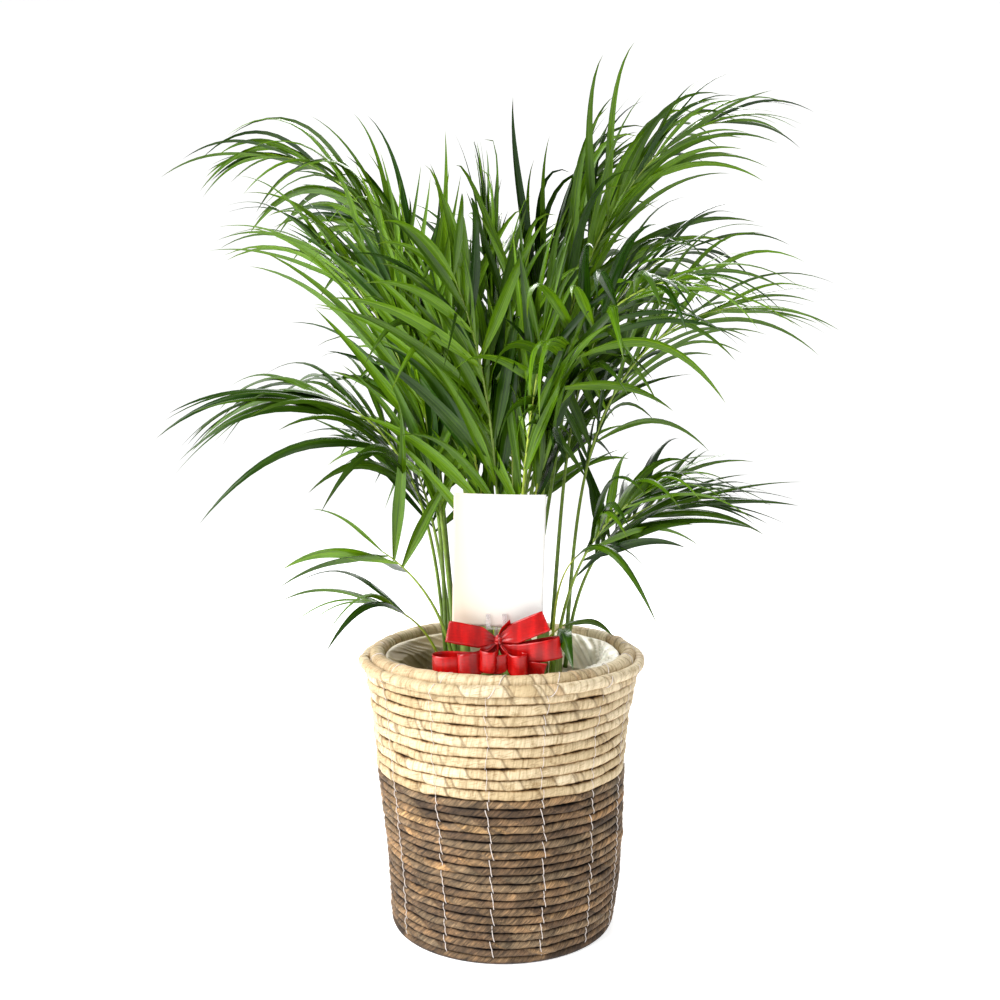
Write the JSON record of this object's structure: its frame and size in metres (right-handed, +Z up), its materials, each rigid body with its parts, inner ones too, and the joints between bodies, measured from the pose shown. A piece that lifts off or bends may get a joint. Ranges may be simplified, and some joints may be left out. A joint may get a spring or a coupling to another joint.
{
  "type": "potted areca palm",
  "caption": "Clustering feather palm with many canes and arching fronds, in a nursery pot inside a coiled two-tone basket, with a film liner, a ribbon bow and a blank gift card.",
  "frame": {"origin": "middle of the basket's flat underside, which stands on the ground", "axes": "+Z up the canes, -Y towards the front, where the bow and the card are, +X to the right seen from the front"},
  "size_m": [0.8021, 0.7257, 0.9988],
  "materials": {
    "brown_coil": "matt twisted dry leaf, coiled and stitched",
    "natural_coil": "matt wrapped husk, coiled and stitched",
    "film": "crumpled translucent film",
    "pot_plastic": "matt moulded plastic",
    "soil": "rough damp compost",
    "cane": "smooth ringed cane and leaf sheath",
    "leaf_mid": "satin leaf with fine parallel veins",
    "leaf_fresh": "satin leaf with fine parallel veins",
    "leaf_bright": "satin leaf with fine parallel veins",
    "leaf_deep": "satin leaf with fine parallel veins",
    "spear": "satin unopened leaf",
    "card_paper": "matt card",
    "clear_plastic": "clear moulded plastic",
    "ribbon": "satin ribbon"
  },
  "bodies": {
    "root": {"basket_base": "brown_coil", "basket_brown_band": "brown_coil", "basket_natural_band": "natural_coil", "basket_rim": "natural_coil", "liner": "film", "nursery_pot": "pot_plastic", "soil": "soil", "card_pick": "clear_plastic", "bow": "ribbon", "gift_card": "card_paper", "stem_left": "cane", "stem_back_left": "cane", "stem_front": "cane", "stem_right": "cane", "stem_back_right": "cane", "stem_centre": "cane", "stem_far_left": "cane", "stem_far_right": "cane", "frond_left_arch": "leaf_mid", "frond_left_mid": "leaf_bright", "frond_left_low": "leaf_deep", "frond_left_small": "leaf_mid", "frond_left_smaller": "leaf_mid", "frond_left_back": "leaf_deep", "frond_left_front": "leaf_bright", "frond_up_left": "leaf_bright", "frond_up_middle": "leaf_fresh", "frond_up_centre": "leaf_mid", "frond_up_front": "leaf_mid", "frond_up_right": "leaf_mid", "frond_up_right_front": "leaf_fresh", "frond_up_back": "leaf_deep", "frond_right_arch": "leaf_deep", "frond_right_mid": "leaf_mid", "frond_right_low": "leaf_deep", "frond_right_low_front": "leaf_mid", "frond_right_small": "leaf_mid", "frond_right_back": "leaf_deep", "frond_right_front": "leaf_fresh", "frond_front_left": "leaf_fresh", "frond_front_right": "leaf_mid", "frond_centre_broad": "leaf_mid", "frond_back_low": "leaf_deep", "frond_back_low_right": "leaf_mid", "frond_rim_leaf": "leaf_mid", "spear_centre": "spear", "spear_back": "spear"}
  },
  "joints": []
}
